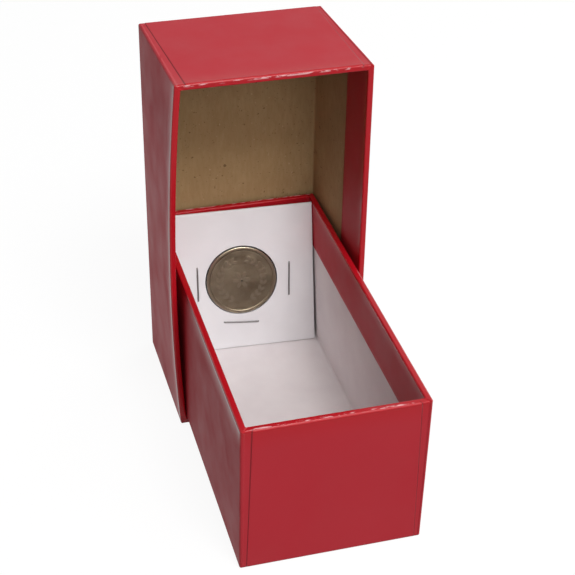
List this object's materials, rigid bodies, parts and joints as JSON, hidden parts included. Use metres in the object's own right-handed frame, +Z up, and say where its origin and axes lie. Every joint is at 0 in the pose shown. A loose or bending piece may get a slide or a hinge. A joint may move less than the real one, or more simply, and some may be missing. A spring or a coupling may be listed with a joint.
{
  "type": "coin storage box",
  "caption": "Rigid paper-covered box for square coin holders: open tray slid into its deep lid, which stands on end, with one card holder and coin inside.",
  "frame": {"origin": "centre of the lid's lower end face, on the surface that the box stands on", "axes": "+Z up along the lid's length; -Y out of the lid's mouth, the way the tray slides out; +X to the right for someone who looks into the lid"},
  "size_m": [0.0635, 0.1208, 0.1224],
  "materials": {
    "red_paper": "glossy coated covering paper",
    "chipboard": "matte grey-brown solid board",
    "stay_paper": "matte gummed kraft paper",
    "white_lining": "matte white paper",
    "white_card": "smooth matte card",
    "clear_film": "clear glossy film",
    "coin_metal": "dulled brass alloy",
    "staple_steel": "plated wire"
  },
  "bodies": {
    "lid": {"lid_board": "chipboard", "lid_stay_bottom_left": "stay_paper", "lid_stay_bottom_right": "stay_paper", "lid_stay_top_left": "stay_paper", "lid_stay_top_right": "stay_paper", "lid_wrap": "red_paper"},
    "tray": {"tray_board": "chipboard", "tray_stay_front_left": "stay_paper", "tray_stay_front_right": "stay_paper", "tray_stay_rear_left": "stay_paper", "tray_stay_rear_right": "stay_paper", "tray_lining": "white_lining", "tray_wrap": "red_paper"},
    "holder": {"holder_card": "white_card", "holder_film": "clear_film", "coin": "coin_metal", "holder_staples": "staple_steel"}
  },
  "joints": [
    {"name": "tray_slide", "type": "slide", "parent": "lid", "child": "tray", "axis": [0, -1, 0], "range_m": [0, 0.05]},
    {"name": "holder_lift", "type": "slide", "parent": "tray", "child": "holder", "axis": [0, -0.0301, 0.9995], "range_m": [0, 0.052]}
  ]
}
